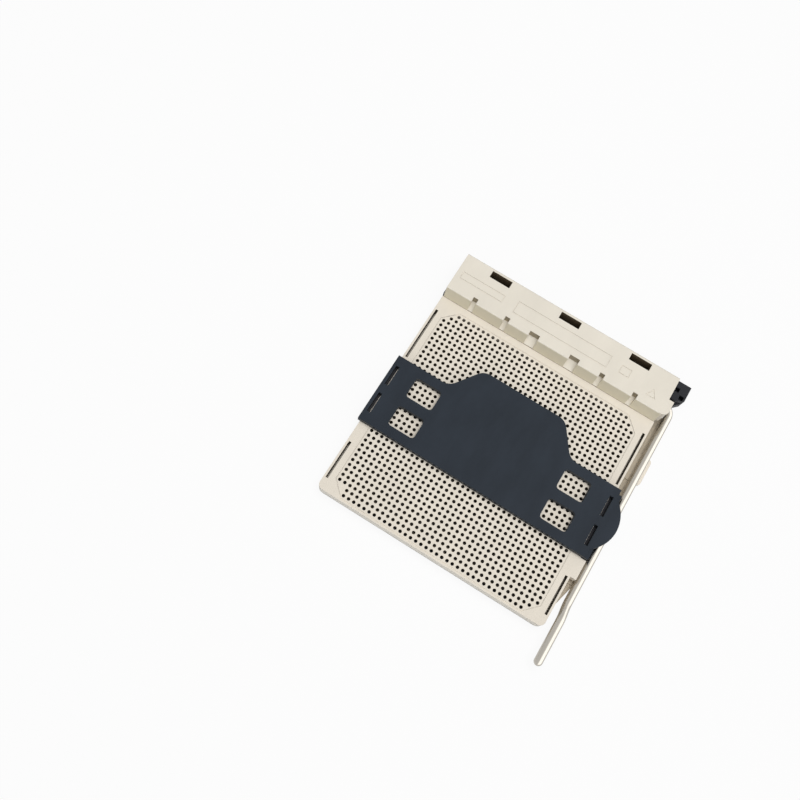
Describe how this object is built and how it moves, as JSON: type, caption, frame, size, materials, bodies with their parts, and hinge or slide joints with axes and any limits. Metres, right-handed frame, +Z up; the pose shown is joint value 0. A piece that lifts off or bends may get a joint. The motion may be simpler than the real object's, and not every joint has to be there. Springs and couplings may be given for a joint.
{
  "type": "ic socket",
  "caption": "Zero-insertion-force processor socket for a pin grid array, with an ivory sliding cover, cam head, wire lever and dark clip-on placement cap.",
  "frame": {"origin": "centre of the solder ball grid on the circuit board's face", "axes": "+X to the lever side, +Y to the cam head, +Z up from the board"},
  "size_m": [0.047, 0.0559, 0.0065],
  "materials": {
    "base_black": "satin",
    "cover_ivory": "satin",
    "cap_dark": "satin",
    "lever_wire": "polished",
    "wear_steel": "satin",
    "solder": "bright",
    "contact_alloy": "satin"
  },
  "bodies": {
    "root": {"base_plate_head_end": "base_black", "base_plate_handle_end": "base_black", "base_cross_bar": "base_black", "cover_plate_head_end": "cover_ivory", "cover_plate_handle_end": "cover_ivory", "cover_cam_head": "cover_ivory", "lever": "lever_wire", "placement_cap": "cap_dark", "base_wear_plate": "wear_steel", "cover_wear_plate": "wear_steel", "solder_balls": "solder", "contact_row_1": "contact_alloy", "contact_row_2": "contact_alloy", "contact_row_3": "contact_alloy", "contact_row_4": "contact_alloy", "contact_row_5": "contact_alloy", "contact_row_6": "contact_alloy", "contact_row_7": "contact_alloy", "contact_row_8": "contact_alloy", "contact_row_9": "contact_alloy", "contact_row_10": "contact_alloy", "contact_row_11": "contact_alloy", "contact_row_12": "contact_alloy", "contact_row_13": "contact_alloy", "contact_row_14": "contact_alloy", "contact_row_15": "contact_alloy", "contact_row_16": "contact_alloy", "contact_row_17": "contact_alloy", "contact_row_18": "contact_alloy", "contact_row_19": "contact_alloy", "contact_row_20": "contact_alloy", "contact_row_21": "contact_alloy", "contact_row_22": "contact_alloy", "contact_row_23": "contact_alloy", "contact_row_24": "contact_alloy", "contact_row_25": "contact_alloy", "contact_row_26": "contact_alloy", "contact_row_27": "contact_alloy", "contact_row_28": "contact_alloy", "contact_row_29": "contact_alloy", "contact_row_30": "contact_alloy", "contact_row_31": "contact_alloy", "contact_row_32": "contact_alloy", "contact_row_33": "contact_alloy", "contact_row_34": "contact_alloy", "contact_row_35": "contact_alloy", "contact_row_36": "contact_alloy", "contact_row_37": "contact_alloy", "contact_row_38": "contact_alloy", "contact_row_39": "contact_alloy"}
  },
  "joints": []
}
